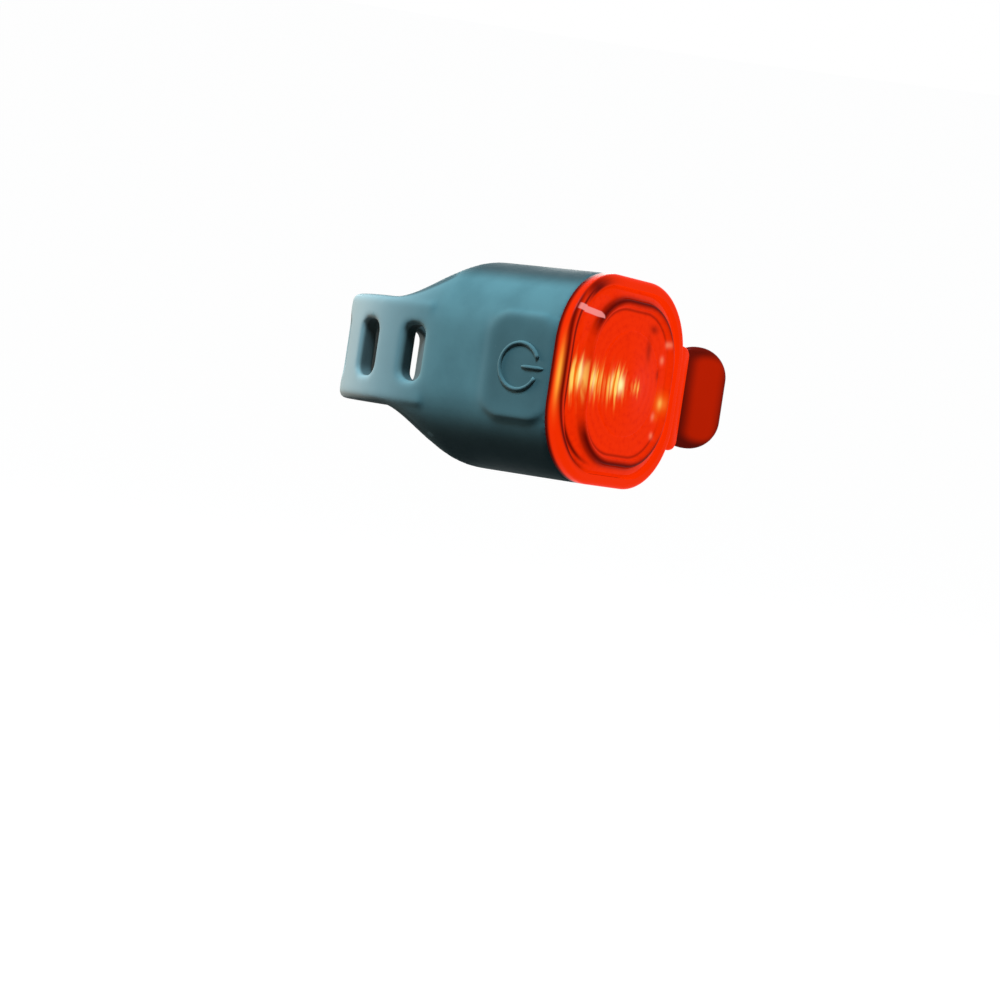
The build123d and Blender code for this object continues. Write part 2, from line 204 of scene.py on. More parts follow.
def makeGrainGroup(look):  # fine moulded grain, broad mottling, and dust specks, each as a mask
    tree, start, end = newGroup(
        "mouldedGrain",
        [("Vector", "NodeSocketVector", (0, 0, 0)), ("Grain Scale", "NodeSocketFloat", 4000.0),
         ("Mottle Scale", "NodeSocketFloat", 160.0)],
        ["Grain", "Mottle", "Dust"],
    )
    vector = start.outputs["Vector"]
    grain = noiseNode(tree, vector, start.outputs["Grain Scale"], detail=2.0)
    mottle = noiseNode(tree, vector, start.outputs["Mottle Scale"], detail=4.0)
    dust = tree.nodes.new("ShaderNodeTexVoronoi")
    feed(tree, dust.inputs["Vector"], vector)
    feed(tree, dust.inputs["Scale"], product(tree, start.outputs["Mottle Scale"], look["scale"]))
    specks = mapRange(tree, dust.outputs["Distance"], *look["distance"])
    feed(tree, end.inputs["Grain"], grain)
    feed(tree, end.inputs["Mottle"], mottle)
    feed(tree, end.inputs["Dust"], product(tree, specks, mapRange(tree, mottle, *look["cover"])))
    return tree


def makeEdgeGroup():  # worn edges, and a mask for painted shade in hollows, from how the surface curves, where a half is flat
    tree, start, end = newGroup("curvedEdges", [("Sharpness", "NodeSocketFloat", 0.06)], ["Edge", "HollowShade"])
    point = tree.nodes.new("ShaderNodeNewGeometry").outputs["Pointiness"]
    scaled = mathNode(tree, "DIVIDE", mathNode(tree, "SUBTRACT", point, 0.5), start.outputs["Sharpness"])
    feed(tree, end.inputs["Edge"], mathNode(tree, "MULTIPLY", scaled, 1.0, clamp=True))
    feed(tree, end.inputs["HollowShade"], mathNode(tree, "MULTIPLY", scaled, -1.0, clamp=True))
    return tree


def makeFrameGroup():  # distance to a rounded rectangle round the lamp's axis, below nought inside it
    tree, start, end = newGroup(
        "roundedFrame",
        [("Vector", "NodeSocketVector", (0, 0, 0)), ("Half Size", "NodeSocketVector", (0.01, 0.0, 0.01)),
         ("Corner", "NodeSocketFloat", 0.005)],
        ["Distance"],
    )
    corner = start.outputs["Corner"]
    cornerVector = tree.nodes.new("ShaderNodeCombineXYZ")
    feed(tree, cornerVector.inputs["X"], corner)
    feed(tree, cornerVector.inputs["Z"], corner)
    folded = vectorNode(tree, "ABSOLUTE", vectorNode(tree, "MULTIPLY", start.outputs["Vector"], (1, 0, 1)))
    core = vectorNode(tree, "SUBTRACT", start.outputs["Half Size"], cornerVector.outputs[0])
    beyond = vectorNode(tree, "SUBTRACT", folded, core)
    outside = vectorNode(tree, "MAXIMUM", vectorNode(tree, "MULTIPLY", beyond, (1, 0, 1)), (0, 0, 0))
    parts = tree.nodes.new("ShaderNodeSeparateXYZ")
    feed(tree, parts.inputs[0], beyond)
    inner = mathNode(tree, "MINIMUM", strongest(tree, parts.outputs["X"], parts.outputs["Z"]), 0.0)
    reach = mathNode(tree, "ADD", vectorNode(tree, "LENGTH", outside), inner)
    feed(tree, end.inputs["Distance"], mathNode(tree, "SUBTRACT", reach, corner))
    return tree


grainGroup = makeGrainGroup(speckLook)
edgeGroup = makeEdgeGroup()
frameGroup = makeFrameGroup()


# Materials

def newMaterial(name, **sockets):  # plain numbers go straight to the shader's sockets
    material = bpy.data.materials.new(name)
    material.use_nodes = True
    shader = material.node_tree.nodes["Principled BSDF"]
    for key, value in sockets.items():
        shader.inputs[key.replace("_", " ")].default_value = value
    return material, material.node_tree, shader


def objectPlace(tree):
    return tree.nodes.new("ShaderNodeTexCoord").outputs["Object"]


def splitPlace(tree, position):  # across, depth and height in millimetres
    parts = tree.nodes.new("ShaderNodeSeparateXYZ")
    feed(tree, parts.inputs[0], position)
    units = {"X": mm, "Y": -mm, "Z": mm}
    return [mathNode(tree, "DIVIDE", parts.outputs[axis], unit) for axis, unit in units.items()]


def addBump(tree, shader, height, strength, distance):
    bump = tree.nodes.new("ShaderNodeBump")
    bump.inputs["Strength"].default_value = strength
    bump.inputs["Distance"].default_value = distance
    feed(tree, bump.inputs["Height"], height)
    feed(tree, shader.inputs["Normal"], bump.outputs["Normal"])


def setRoughness(tree, shader, mask, roughness):  # from the first value to the second as the mask grows
    feed(tree, shader.inputs["Roughness"], mapRange(tree, mask, 0.3, 0.7, *roughness))


rubberLook = {
    "colour": (0.112, 0.188, 0.190, 1),
    # The worn tone is edge wear, and also a painted highlight along the crease beside the button zone
    "wearAndHighlight": (0.175, 0.245, 0.245, 1), "wearAndHighlightMost": 0.55,
    # The hollow tone is painted shade in the surface's hollows, and also the dark end of the random mottle
    "hollowShade": (0.050, 0.088, 0.092, 1), "hollowShadeMost": 0.60, "mottle": (0.35, 0.70, 0.0, 0.30),
    "dust": (0.30, 0.34, 0.33, 1), "dustMost": 0.10,
    "sharpness": 0.08, "roughness": (0.50, 0.66),
    "grainScale": 5200.0, "mottleScale": 140.0, "bump": 0.12, "grainHeight": 0.00004,
}
sealLook = {
    **rubberLook, "colour": (0.018, 0.018, 0.019, 1), "wearAndHighlight": (0.04, 0.04, 0.042, 1),
    "hollowShade": (0.010, 0.010, 0.011, 1),
}
sleeveLightAndShade = {  # painted light and shade by place, in millimetres: each range runs from none of the tone to the most of it
    "outer": (-16.2, -16.7),  # across: the button's side only
    "pale": (0.38, 0.40, 0.38, 1), "strapLightDepth": (12.0, -8.0), "strapLightMost": 0.80,  # painted light on the strap, paler towards its back
    # the colour of all the painted shade below
    "dark": (0.030, 0.037, 0.037, 1),
    # painted shade on the underside and along the top edge
    "underShadeUp": (-8.0, -13.5), "underShadeMost": 0.70,
    "topShadeUp": (12.4, 15.2), "topShadeMost": 0.88,
    # painted shade on the strap's inner face and slot walls
    "insideShadeRadius": (16.5, 15.8), "insideShadeDepth": (10.0, 8.0), "insideShadeMost": 0.75,
    "padShadeDepth": (27.0, 7.2, 2.6), "padShadeUp": (-0.5, 8.6, 5.2), "padShadeMost": 0.40,  # painted shade round the button: middle, half size, softness
    # painted highlight along the crease beside the button zone
    "creaseHighlightDepth": (19.6, 0.7), "creaseHighlightUp": (0.0, 8.0, 3.0), "creaseHighlightMost": 0.30,
}


def paintSleeveLightAndShade(tree, position, colour, look, zones):
    across, depth, up = splitPlace(tree, position)
    # Painted light on the strap, which is paler towards its back
    stretched = product(tree, mapRange(tree, depth, *zones["strapLightDepth"]), zones["strapLightMost"])
    colour = mixColor(tree, stretched, colour, zones["pale"])
    outer = mapRange(tree, across, *zones["outer"])
    # Painted highlight along the crease beside the button zone
    creaseHighlight = product(tree, gauss(tree, depth, *zones["creaseHighlightDepth"]), within(tree, up, *zones["creaseHighlightUp"]),
                     outer, zones["creaseHighlightMost"])
    colour = mixColor(tree, creaseHighlight, colour, look["wearAndHighlight"])
    # Painted shade over the button zone
    padShade = product(tree, within(tree, depth, *zones["padShadeDepth"]), within(tree, up, *zones["padShadeUp"]), outer,
                  zones["padShadeMost"])
    # Painted shade on the underside and along the top edge
    underShade = product(tree, mapRange(tree, up, *zones["underShadeUp"]), zones["underShadeMost"])
    topShade = product(tree, mapRange(tree, up, *zones["topShadeUp"]), zones["topShadeMost"])
    # Painted shade on the strap's inner face and the walls of its slots
    insideShade = product(tree, mapRange(tree, flatDistance(tree, across, depth), *zones["insideShadeRadius"]),
                     mapRange(tree, depth, *zones["insideShadeDepth"]), zones["insideShadeMost"])
    return mixColor(tree, strongest(tree, padShade, underShade, topShade, insideShade), colour, zones["dark"])


def makeRubber(name, look, zones=None):
    material, tree, shader = newMaterial(name, Specular_IOR_Level=0.01)
    position = objectPlace(tree)
    grain = placeGroup(tree, grainGroup, Vector=position, Grain_Scale=look["grainScale"],
                       Mottle_Scale=look["mottleScale"])
    edges = placeGroup(tree, edgeGroup, Sharpness=look["sharpness"])
    colour = mixColor(tree, mapRange(tree, grain["Mottle"], *look["mottle"]), look["colour"], look["hollowShade"])
    if zones:
        colour = paintSleeveLightAndShade(tree, position, colour, look, zones)
    # Wear on edges, painted shade in hollows, and dust
    for mask, tone in ((edges["Edge"], "wearAndHighlight"), (edges["HollowShade"], "hollowShade"), (grain["Dust"], "dust")):
        colour = mixColor(tree, product(tree, mask, look[tone + "Most"]), colour, look[tone])
    feed(tree, shader.inputs["Base Color"], colour)
    setRoughness(tree, shader, grain["Mottle"], look["roughness"])
    addBump(tree, shader, grain["Grain"], look["bump"], look["grainHeight"])
    return material


plasticLooks = {
    "redCase": {
        "colour": (0.10, 0.002, 0.0004, 1), "dark": (0.05, 0.001, 0.0002, 1), "roughness": (0.24, 0.34)},
    "innerPlastic": {
        "colour": (0.030, 0.031, 0.034, 1), "dark": (0.015, 0.015, 0.017, 1), "roughness": (0.48, 0.58)},
    "switchPlastic": {
        "colour": (0.065, 0.065, 0.068, 1), "dark": (0.030, 0.030, 0.032, 1), "roughness": (0.42, 0.52)},
    "chipPlastic": {
        "colour": (0.016, 0.016, 0.018, 1), "dark": (0.008, 0.008, 0.009, 1), "roughness": (0.55, 0.65)},
}
plasticGrain = {
    "grainScale": 2600.0, "mottleScale": 220.0, "mottle": (0.35, 0.70, 0.0, 0.35), "sharpness": 0.10,
    "hollowShadeMost": 0.5, "bump": 0.05, "grainHeight": 0.00003,
}
metalLooks = {
    "reflectorMetal": {
        "colour": (0.80, 0.80, 0.82, 1), "dark": (0.62, 0.62, 0.65, 1), "roughness": (0.06, 0.14)},
    "contactMetal": {
        "colour": (0.72, 0.55, 0.26, 1), "dark": (0.46, 0.32, 0.13, 1), "roughness": (0.24, 0.40)},
    "cellSteel": {
        "colour": (0.64, 0.64, 0.65, 1), "dark": (0.46, 0.46, 0.48, 1), "roughness": (0.22, 0.36)},
    "screwSteel": {
        "colour": (0.50, 0.50, 0.51, 1), "dark": (0.30, 0.30, 0.31, 1), "roughness": (0.24, 0.42)},
}
metalGrain = {
    "grainScale": 1800.0, "mottleScale": 300.0, "mottle": (0.40, 0.70), "sharpness": 0.10,
    "hollowShadeMost": 1.0, "bump": 0.04, "grainHeight": 0.00002,
}


def makeHard(name, look, surface, **sockets):  # plastic or metal, with painted shade in its hollows
    material, tree, shader = newMaterial(name, **sockets)
    grain = placeGroup(tree, grainGroup, Vector=objectPlace(tree), Grain_Scale=surface["grainScale"],
                       Mottle_Scale=surface["mottleScale"])
    edges = placeGroup(tree, edgeGroup, Sharpness=surface["sharpness"])
    toned = mixColor(tree, mapRange(tree, grain["Mottle"], *surface["mottle"]), look["colour"], look["dark"])
    # Painted shade in the hollows
    hollowShade = product(tree, edges["HollowShade"], surface["hollowShadeMost"])
    feed(tree, shader.inputs["Base Color"], mixColor(tree, hollowShade, toned, look["dark"]))
    setRoughness(tree, shader, grain["Mottle"], look["roughness"])
    addBump(tree, shader, grain["Grain"], surface["bump"], surface["grainHeight"])
    return material


boardLook = {
    "mask": (0.018, 0.125, 0.045, 1), "track": (0.040, 0.200, 0.075, 1), "trackScale": 420.0,
    "distortion": 2.0, "trackEdge": (0.70, 0.80), "roughness": (0.30, 0.45),
    "grainScale": 3000.0, "mottleScale": 250.0, "bump": 0.2, "trackHeight": 0.00003,
}


def makeBoard(look):
    material, tree, shader = newMaterial("boardGreen", Coat_Weight=0.3)
    position = objectPlace(tree)
    tracks = tree.nodes.new("ShaderNodeTexWave")
    tracks.wave_type = "BANDS"
    tracks.bands_direction = "DIAGONAL"
    feed(tree, tracks.inputs["Vector"], position)
    feed(tree, tracks.inputs["Scale"], look["trackScale"])
    feed(tree, tracks.inputs["Distortion"], look["distortion"])
    lines = mapRange(tree, tracks.outputs["Fac"], *look["trackEdge"])
    feed(tree, shader.inputs["Base Color"], mixColor(tree, lines, look["mask"], look["track"]))
    grain = placeGroup(tree, grainGroup, Vector=position, Grain_Scale=look["grainScale"],
                       Mottle_Scale=look["mottleScale"])
    setRoughness(tree, shader, grain["Mottle"], look["roughness"])
    addBump(tree, shader, lines, look["bump"], look["trackHeight"])
    return material


ledLook = {
    "resin": (0.95, 0.55, 0.20, 1), "die": (1.0, 0.75, 0.25, 1), "grainScale": 2600.0, "mottleScale": 500.0,
    "edgeGlow": (0.25, 0.02, 0.0, 1), "middleGlow": (1.0, 0.50, 0.12, 1), "glowRadius": (0.0016, 0.0004),
}


def makeLed(look):
    material, tree, shader = newMaterial("ledBody", Roughness=0.15, Coat_Weight=0.5, Emission_Strength=2.0)
    position = objectPlace(tree)
    grain = placeGroup(tree, grainGroup, Vector=position, Grain_Scale=look["grainScale"],
                       Mottle_Scale=look["mottleScale"])
    feed(tree, shader.inputs["Base Color"], mixColor(tree, grain["Mottle"], look["resin"], look["die"]))
    radius = vectorNode(tree, "LENGTH", vectorNode(tree, "MULTIPLY", position, (1, 0, 1)))
    glow = mapRange(tree, radius, *look["glowRadius"])
    feed(tree, shader.inputs["Emission Color"], mixColor(tree, glow, look["edgeGlow"], look["middleGlow"]))
    return material


# The light that shows in the red lens and rim. All places are in millimetres round the lamp's axis.
glowTones = {
    "red": (0.86, 0.026, 0.0001, 1), "darkerRed": (0.72, 0.016, 0.0001, 1),
    "deepRed": (0.12, 0.002, 0.0002, 1), "orange": (0.90, 0.13, 0.004, 1),
    "warm": (0.90, 0.23, 0.010, 1), "yellow": (1.0, 0.66, 0.13, 1),
    "hot": (1.0, 0.93, 0.42, 1), "pale": (0.92, 0.20, 0.10, 1), "gleam": (0.90, 0.30, 0.28, 1),
    "rimGlow": (1.0, 0.42, 0.04, 1), "shade": (0.05, 0.001, 0.0, 1),
}
# Painted shade lines in the grooves by the rim's lip, and a painted shade patch at their corner
lipShadeLook = {
    "half": (16.3, 15.6), "corner": 11.4, "up": 1.2, "nearSide": (-5.0, -11.0),
    "lines": [(0.0, 0.42, 1.0), (-1.0, 0.32, 0.95)],  # distance outside the outline, half width, strength
    "darkBand": (-0.9, 0.9, 0.3), "darkAcross": (-10.6, 3.8), "darkUp": (13.6, 2.6),
}
gleamLook = {"across": (-12.5, 2.8, 0.1), "up": (10.1, 0.50, 0.1), "slope": -0.15, "most": 0.85}


def outlineDistance(tree, vector, half, corner):  # millimetres outside a rounded rectangle
    outline = placeGroup(tree, frameGroup, Vector=vector, Half_Size=(half[0] * mm, 0.0, half[1] * mm),
                         Corner=corner * mm)
    return mathNode(tree, "DIVIDE", outline["Distance"], mm)


def spotMask(tree, across, up, spots):  # the strongest of these soft spots at each place
    return strongest(tree, *(
        product(tree, gauss(tree, across, x, width), gauss(tree, up, z, height), strength)
        for x, z, width, height, strength in spots))


def lipShadeMask(tree, position, across, up, look):  # painted shade: two fine dark lines on the near side, and their dark corner
    raised = vectorNode(tree, "SUBTRACT", position, (0, 0, look["up"] * mm))
    lip = outlineDistance(tree, raised, look["half"], look["corner"])
    lines = strongest(tree, *(
        product(tree, gauss(tree, lip, place, width), strength) for place, width, strength in look["lines"]))
    nearLines = product(tree, mapRange(tree, across, *look["nearSide"]), lines)
    corner = product(tree, within(tree, lip, *look["darkBand"]), gauss(tree, across, *look["darkAcross"]),
                     gauss(tree, up, *look["darkUp"]))
    return strongest(tree, nearLines, corner)


def gleamMask(tree, across, up, look):  # a pale gleam from the rim's lip to the ridge
    along = mathNode(tree, "SUBTRACT", across, look["across"][0])
    tilted = mathNode(tree, "SUBTRACT", up, product(tree, along, look["slope"]))
    return product(tree, within(tree, across, *look["across"]), within(tree, tilted, *look["up"]),
                   look["most"])


lensMarks = {
    "base": (0.08, 0.001, 0.0002, 1), "shadeLineBase": (0.02, 0.0004, 0.0001, 1), "roughness": (0.10, 0.18),
    "ridgeHalf": (12.2, 13.0), "ridgeCorner": 9.6, "borderHalf": (15.0, 14.7), "borderCorner": 10.2,
    # painted shade lines: distance outside the ridge or border, half width, strength
    "ridgeLine": (-0.20, 0.62, 1.0), "innerLine": (-1.60, 0.25, 0.55), "grooveLine": (-0.05, 0.30, 0.40),
    "endways": (5.5, 9.5, 0.18, 1.0), "nearSide": (-3.0, -11.0, 0.10, 1.0),
    "noiseScale": 1100.0, "mottle": (0.45, 0.75, 0.0, 0.55),
    "ringPitch": 1.4, "ringPlace": (0.55, 0.22), "ringMost": 0.18, "ringBump": 0.12, "ringHeight": 0.00008,
    # painted highlights, thin bright lines on shallow arcs: distance from the arcs' middle, half width,
    # strength, half height
    "arcMiddle": (12.0, -0.4), "arcSide": (1.0, -1.0),
    "streaks": [(25.5, 1.2, 0.95, 2.2), (21.4, 1.5, 0.90, 1.7), (16.2, 1.8, 1.0, 1.7),
                (10.4, 0.9, 0.50, 0.9)],
    "linePitch": 1.04, "lineWander": 0.4, "line": (0.5, 0.28, 0.09), "lineFade": (0.38, 0.58, 0.30, 1.0),
    "unevenScale": 1.15, "unevenHeight": 0.16, "reach": (1.6, 0.2),
    "warmMost": 0.90, "lineGain": 1.9, "tailStreaks": 3, "tailUp": (-1.0, 2.6), "tailMost": 0.70,
    # painted highlights, and painted shade spots last: across, up, half width, half height, strength
    "hot": [(-2.7, -0.4, 0.8, 1.2, 1.0), (-12.9, 0.3, 0.35, 1.6, 0.8), (-9.6, -0.5, 0.3, 1.5, 0.6),
            (-5.2, -0.3, 0.3, 1.4, 0.5)],
    "orange": [(9.9, -2.1, 1.5, 1.6, 1.0), (9.4, -4.2, 0.8, 0.8, 0.5)],
    "yellow": [(10.1, -2.1, 0.7, 0.8, 0.55)],
    "pale": [(9.9, 7.3, 0.6, 0.5, 0.9), (8.8, 4.7, 0.6, 0.6, 0.9), (8.5, -4.4, 0.5, 0.6, 0.8),
             (9.0, -7.4, 0.5, 0.5, 0.9)],
    "dark": [(5.4, 9.2, 1.3, 0.7, 0.55), (4.1, 5.8, 0.8, 1.8, 0.5), (7.8, 2.3, 0.5, 1.0, 0.5)],
}


def markLine(tree, outline, line, *masks):
    place, width, strength = line
    return product(tree, gauss(tree, outline, place, width), *masks, strength)


def glintMasks(tree, across, up, marks):  # painted highlights: long tails, warm cores and bright thin lines
    arcX = mathNode(tree, "SUBTRACT", across, marks["arcMiddle"][0])
    arcZ = mathNode(tree, "SUBTRACT", up, marks["arcMiddle"][1])
    arc = flatDistance(tree, arcX, arcZ)
    stretched = tree.nodes.new("ShaderNodeCombineXYZ")
    feed(tree, stretched.inputs["X"], arc)
    feed(tree, stretched.inputs["Y"], product(tree, up, marks["unevenHeight"]))
    uneven = noiseNode(tree, stretched.outputs[0], marks["unevenScale"], detail=2.0)
    shifted = mathNode(tree, "ADD", mathNode(tree, "DIVIDE", arc, marks["linePitch"]),
                       product(tree, uneven, marks["lineWander"]))
    thinLine = product(tree, within(tree, mathNode(tree, "FRACT", shifted), *marks["line"]),
                       mapRange(tree, uneven, *marks["lineFade"]))
    side = mapRange(tree, arcX, *marks["arcSide"])
    groups = []
    cores = []
    for distance, width, strength, height in marks["streaks"]:
        groups.append(product(tree, gauss(tree, arc, distance, width), side, strength))
        spread, least = (height * share for share in marks["reach"])
        reach = mathNode(tree, "ADD", product(tree, uneven, spread), least)
        cores.append(product(tree, groups[-1], gauss(tree, arcZ, 0.0, reach)))
    core = strongest(tree, *cores)
    group = strongest(tree, *groups[:marks["tailStreaks"]])
    tails = product(tree, group, group, gauss(tree, up, *marks["tailUp"]), thinLine, marks["tailMost"])
    lines = mathNode(tree, "MULTIPLY", product(tree, core, thinLine), marks["lineGain"], clamp=True)
    return tails, product(tree, core, marks["warmMost"]), lines


def makeLens(tones, marks, lip, gleam):
    material, tree, shader = newMaterial("redLens", Specular_IOR_Level=0.008, Emission_Strength=1.0)
    position = objectPlace(tree)
    across, up = splitPlace(tree, position)[::2]

    # Painted shade lines: the groove inside the rim, and the ridge, which is darkest above and below the
    # middle
    ridge = outlineDistance(tree, position, marks["ridgeHalf"], marks["ridgeCorner"])
    border = outlineDistance(tree, position, marks["borderHalf"], marks["borderCorner"])
    endways = mapRange(tree, mathNode(tree, "ABSOLUTE", up), *marks["endways"])
    nearSide = mapRange(tree, across, *marks["nearSide"])
    shadeLines = strongest(
        tree,
        markLine(tree, ridge, marks["ridgeLine"], endways),
        markLine(tree, ridge, marks["innerLine"], endways),
        markLine(tree, border, marks["grooveLine"], nearSide),
        lipShadeMask(tree, position, across, up, lip),
        spotMask(tree, across, up, marks["dark"]),
    )

    ringPlace = mathNode(tree, "DIVIDE", flatDistance(tree, across, up), marks["ringPitch"])
    ringLine = gauss(tree, mathNode(tree, "FRACT", ringPlace), *marks["ringPlace"])
    noise = noiseNode(tree, position, marks["noiseScale"], detail=3.0, roughness=0.6)
    mottled = mathNode(tree, "ADD", mapRange(tree, noise, *marks["mottle"]),
                       product(tree, ringLine, marks["ringMost"]))
    # Painted highlights: glints of the light in the rings
    tails, warm, lines = glintMasks(tree, across, up, marks)
    lit = mixColor(tree, mottled, tones["red"], tones["darkerRed"])
    for mask, tone in ((shadeLines, "deepRed"), (tails, "orange"), (warm, "warm"), (lines, "yellow")):
        lit = mixColor(tree, mask, lit, tones[tone])
    # Painted highlight spots
    for tone in ("hot", "orange", "yellow", "pale"):
        lit = mixColor(tree, spotMask(tree, across, up, marks[tone]), lit, tones[tone])
    lit = mixColor(tree, gleamMask(tree, across, up, gleam), lit, tones["gleam"])
    feed(tree, shader.inputs["Emission Color"], lit)
    # The base colour also darkens under the painted shade lines
    feed(tree, shader.inputs["Base Color"], mixColor(tree, shadeLines, marks["base"], marks["shadeLineBase"]))
    setRoughness(tree, shader, noise, marks["roughness"])
    addBump(tree, shader, ringLine, marks["ringBump"], marks["ringHeight"])
    return material


rimMarks = {  # across, depth and height in millimetres
    "lipDepth": (33.9, 34.3), "gleamDepth": (34.3, 34.6), "seamDepth": (32.5, 33.3),
    "glowAcross": (-15.6, -16.3), "glowUp": (-0.3, 4.0), "glowDepth": (33.9, 0.50),
    "bodyAcross": (20.2, 18.8),
}
# Painted light from the lens on the hook's head, with painted shade at its root and round its edge
hookLook = {
    "middle": 25.1, "half": (3.1, 8.4), "corner": 3.0,
    "rootShadeAcross": (22.2, 24.4), "edgeShadeDistance": (-2.3, -0.6),
    "shade": (0.05, 0.0010, 0.0001, 1), "lit": (0.40, 0.011, 0.0003, 1), "edge": (0.07, 0.004, 0.002, 1),
}


def makeRedCase(tones, marks, hook, lip, gleam):
    material = makeHard("redCase", plasticLooks["redCase"], plasticGrain, Specular_IOR_Level=0.015,
                        Emission_Strength=1.0)
    tree = material.node_tree
    position = objectPlace(tree)
    across, depth, up = splitPlace(tree, position)

    # The rim glows, most on the near side, with two fine lines of painted shade on its lip
    nearGlow = product(tree, mapRange(tree, across, *marks["glowAcross"]), gauss(tree, up, *marks["glowUp"]),
                       gauss(tree, depth, *marks["glowDepth"]))
    lipShadeLines = product(tree, mapRange(tree, depth, *marks["lipDepth"]),
                       lipShadeMask(tree, position, across, up, lip))
    rimGleam = product(tree, gleamMask(tree, across, up, gleam), mapRange(tree, depth, *marks["gleamDepth"]))
    rim = tones["red"]
    for mask, tone in ((nearGlow, "rimGlow"), (lipShadeLines, "deepRed"), (rimGleam, "gleam")):
        rim = mixColor(tree, mask, rim, tones[tone])
    rim = mixColor(tree, mapRange(tree, depth, *marks["seamDepth"]), tones["shade"], rim)

    # The hook's head glows with painted light from the lens, with painted shade at its root and round its
    # edge
    fromHook = vectorNode(tree, "SUBTRACT", position, (hook["middle"] * mm, 0, 0))
    headEdge = outlineDistance(tree, fromHook, hook["half"], hook["corner"])
    head = mixColor(tree, mapRange(tree, across, *hook["rootShadeAcross"]), hook["shade"], hook["lit"])
    head = mixColor(tree, mapRange(tree, headEdge, *hook["edgeShadeDistance"]), head, hook["edge"])
    glow = mixColor(tree, mapRange(tree, across, *marks["bodyAcross"]), head, rim)
    feed(tree, tree.nodes["Principled BSDF"].inputs["Emission Color"], glow)
    return material


materials = {
    "sleeve_rubber": makeRubber("sleeveRubber", rubberLook, sleeveLightAndShade),
    "red_case": makeRedCase(glowTones, rimMarks, hookLook, lipShadeLook, gleamLook),
    "red_lens": makeLens(glowTones, lensMarks, lipShadeLook, gleamLook),
    "black_rubber": makeRubber("blackRubber", sealLook),
    "reflector_metal": makeHard("reflectorMetal", metalLooks["reflectorMetal"], metalGrain, Metallic=1.0),
    "led_body": makeLed(ledLook),
    "board_green": makeBoard(boardLook),
    "chip_black": makeHard("chipBlack", plasticLooks["chipPlastic"], plasticGrain),
    "switch_body": makeHard("switchBody", plasticLooks["switchPlastic"], plasticGrain),
    "inner_plastic": makeHard("innerPlastic", plasticLooks["innerPlastic"], plasticGrain),
    "screw_steel": makeHard("screwSteel", metalLooks["screwSteel"], metalGrain, Metallic=1.0),
    "contact_metal": makeHard("contactMetal", metalLooks["contactMetal"], metalGrain, Metallic=1.0),
    "cell_steel": makeHard("cellSteel", metalLooks["cellSteel"], metalGrain, Metallic=1.0),
}

for subpart in frame["record"]["subparts"]:
    for place in frame["nodes"][subpart["node"]].material_slots:
        place.material = materials[subpart["material_slot"]]
print("stage: materials made")


# Rubber skin over the sleeve and the button, with a faint plateau at the button
sleeveSkin = {  # in millimetres, but the merge distance is in metres
    "mergeDistance": 1e-6, "voxel": 0.37, "smoothSteps": 6, "smoothFactor": 0.5,
    "nearSide": -16.8, "wall": 1.5, "buttonDepth": 26.1,
    "plateauWidth": 12.2, "plateauHeight": 16.4, "plateauCorner": 3.4, "plateauProud": 0.06, "segments": 8,
    "blendStart": -16.815, "blendEnd": -16.855,
    "endBarFrom": 30.2, "endBarKeep": 0.60,
}


def makeSleeveSkin(look):
    bm = bmesh.new()
    bm.from_mesh(frame["nodes"]["silicone_sleeve"].data)
    bmesh.ops.remove_doubles(bm, verts=bm.verts, dist=look["mergeDistance"])
    slab = bmesh.ops.create_cube(bm, size=1.0)["verts"]
    thickness = look["wall"] + look["plateauProud"]
    bmesh.ops.scale(bm, verts=slab,
                    vec=(thickness * mm, look["plateauWidth"] * mm, look["plateauHeight"] * mm))
    bmesh.ops.translate(bm, verts=slab, vec=(
        (look["nearSide"] - look["plateauProud"] + thickness / 2) * mm, -look["buttonDepth"] * mm, 0))
    slabEdges = {edge for vert in slab for edge in vert.link_edges}
    crossEdges = [e for e in slabEdges if abs(e.verts[0].co.x - e.verts[1].co.x) > thickness / 2 * mm]
    bmesh.ops.bevel(bm, geom=crossEdges, offset=look["plateauCorner"] * mm, offset_type="OFFSET",
                    affect="EDGES", segments=look["segments"], profile=0.5, material=-1)
    skin = finishPiece(bm, "sleeveSkin")
    remesh = skin.modifiers.new("remesh", "REMESH")
    remesh.mode = "VOXEL"
    remesh.voxel_size = look["voxel"] * mm
    bpy.context.view_layer.update()
    evaluated = skin.evaluated_get(bpy.context.evaluated_depsgraph_get())
    mesh = bpy.data.meshes.new_from_object(evaluated)
    skin.modifiers.clear()
    skin.data = mesh
    mesh.name = "sleeveSkin"
    bm = bmesh.new()
    bm.from_mesh(mesh)
    for _ in range(look["smoothSteps"]):
        bmesh.ops.smooth_vert(bm, verts=bm.verts, factor=look["smoothFactor"],
                              use_axis_x=True, use_axis_y=True, use_axis_z=True)
    endBar = -look["endBarFrom"] * mm
    for vert in bm.verts:  # the strap's end bar is drawn tight against the hook
        if vert.co.x > -look["nearSide"] * mm and vert.co.y < endBar:
            vert.co.y = endBar + (vert.co.y - endBar) * look["endBarKeep"]
    bm.to_mesh(mesh)
    bm.free()
    mesh.shade_smooth()
    mesh.materials.clear()
    mesh.materials.append(materials["sleeve_rubber"])
    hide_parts("silicone_sleeve", "power_button_pad")
    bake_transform(skin)
    print("stage: sleeve skin", len(mesh.polygons), "faces")


makeSleeveSkin(sleeveSkin)

# Raised power sign on the button
powerSign = {  # in millimetres and degrees
    "radius": 3.6, "gap": 50.0, "tilt": 0.5, "lineWidth": 0.66, "rise": 0.36, "barStart": 0.4, "barEnd": 4.7,
    "steps": 40, "sides": 12, "barSides": 16, "barRings": 10, "face": -16.86, "depth": 26.3,
}


